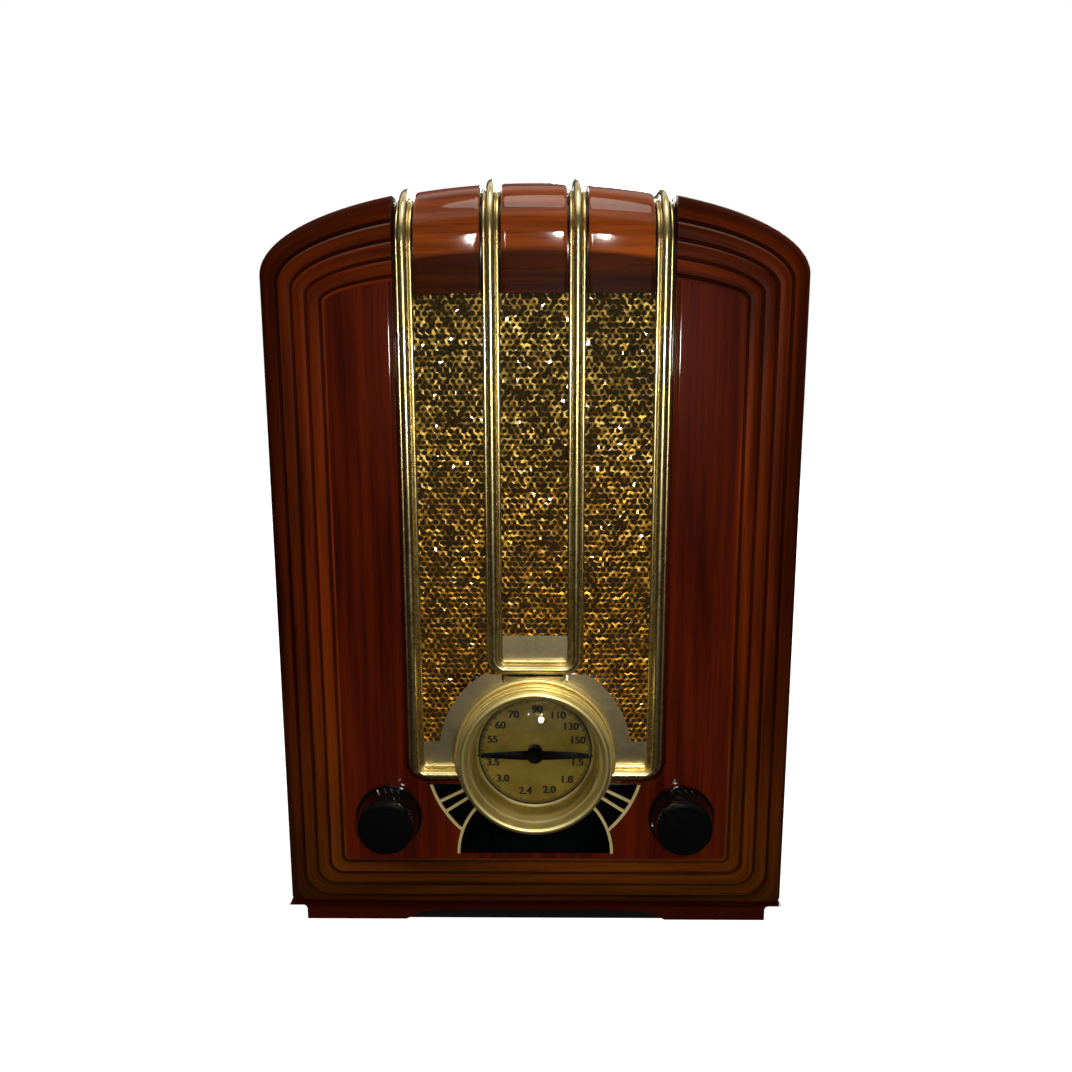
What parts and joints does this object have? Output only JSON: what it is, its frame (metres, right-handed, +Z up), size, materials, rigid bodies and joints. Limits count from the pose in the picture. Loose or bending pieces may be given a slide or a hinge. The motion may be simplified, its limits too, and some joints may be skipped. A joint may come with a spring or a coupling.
{
  "type": "table radio receiver",
  "caption": "Arched wooden table radio with brass bars over a perforated grille, a round domed dial with a pointer, and two fluted knobs.",
  "frame": {"origin": "under the middle of the whole set, on the surface it stands on", "axes": "front faces -Y, +X to the right seen from the front, +Z up"},
  "size_m": [0.28, 0.2182, 0.408],
  "materials": {
    "cabinet_front": "stained and lacquered",
    "cabinet_shell": "stained and lacquered",
    "plain_wood": "bare",
    "brass_trim": "polished",
    "brass_mesh": "hammered",
    "dial_glass": "clear",
    "dial_face": "printed",
    "black_enamel": "gloss enamel",
    "speaker_steel": "painted",
    "cone_paper": "pressed",
    "coil_iron": "varnished",
    "chassis_steel": "plated",
    "bare_steel": "turned",
    "plate_aluminium": "satin",
    "bush_brass": "turned",
    "drum_board": "moulded",
    "cord_fibre": "braided",
    "knob_bakelite": "polished",
    "valve_glass": "clear",
    "base_bakelite": "moulded",
    "terminal_board": "laminated",
    "grommet_rubber": "matte"
  },
  "bodies": {
    "cabinet": {"front_moulding": "cabinet_front", "front_board": "cabinet_front", "hood_left": "cabinet_front", "hood_centre": "cabinet_front", "hood_right": "cabinet_front", "bar_beds": "cabinet_front", "side_left": "cabinet_shell", "side_right": "cabinet_shell", "roof": "cabinet_shell", "floor_board": "plain_wood", "foot_front": "cabinet_front", "foot_left": "cabinet_shell", "foot_right": "cabinet_shell", "foot_back": "cabinet_shell", "corner_blocks": "plain_wood", "baffle_board": "plain_wood", "outer_bar_left": "brass_trim", "outer_bar_right": "brass_trim", "inner_bars": "brass_trim", "grille": "brass_mesh", "grille_surround": "brass_trim", "dial_bezel": "brass_trim", "dial_glass": "dial_glass", "dial_plate": "dial_face", "apron": "black_enamel", "apron_lines": "brass_trim", "speaker_basket": "speaker_steel", "speaker_cone": "cone_paper", "field_coil": "coil_iron", "output_transformer": "coil_iron", "chassis": "chassis_steel", "chassis_bolts": "bare_steel", "gang_frame": "bare_steel", "stator_plates": "plate_aluminium", "drive_cord": "cord_fibre", "shaft_bushes": "bush_brass", "volume_control": "bare_steel", "valve_bulbs": "valve_glass", "valve_bases": "base_bakelite", "valve_sockets": "base_bakelite", "valve_shield": "plate_aluminium", "coil_cans": "plate_aluminium", "power_transformer": "black_enamel", "smoothing_can": "plate_aluminium", "dial_lamp": "valve_glass", "lamp_holder": "chassis_steel", "terminal_strip": "terminal_board", "band_switch": "terminal_board", "mains_grommet": "grommet_rubber"},
    "tuning_rotor": {"rotor_shaft": "bare_steel", "rotor_plates": "plate_aluminium", "drive_drum": "drum_board", "pointer": "black_enamel"},
    "tuning_control": {"tuning_spindle": "bare_steel", "tuning_knob": "knob_bakelite"},
    "volume_setting": {"volume_shaft": "bare_steel", "volume_knob": "knob_bakelite"},
    "band_selector": {"band_lever": "base_bakelite"}
  },
  "joints": [
    {"name": "tuning_sweep", "type": "hinge", "parent": "cabinet", "child": "tuning_rotor", "pos_m": [0, -0.0909, 0.1025], "axis": [0, 1, 0], "range_deg": [0, 180]},
    {"name": "tuning_knob_turn", "type": "hinge", "parent": "cabinet", "child": "tuning_control", "pos_m": [0.081, -0.0909, 0.067], "axis": [0, 1, 0], "range_deg": [0, 1533]},
    {"name": "volume_turn", "type": "hinge", "parent": "cabinet", "child": "volume_setting", "pos_m": [-0.081, -0.0909, 0.067], "axis": [0, 1, 0], "range_deg": [0, 300]},
    {"name": "band_change", "type": "hinge", "parent": "cabinet", "child": "band_selector", "pos_m": [0.034, 0.0879, 0.052], "axis": [0, 0, 1], "range_deg": [-14, 14]}
  ],
  "couplings": [
    {"joint": "tuning_knob_turn", "follows": "tuning_sweep", "ratio": 8.5077}
  ]
}
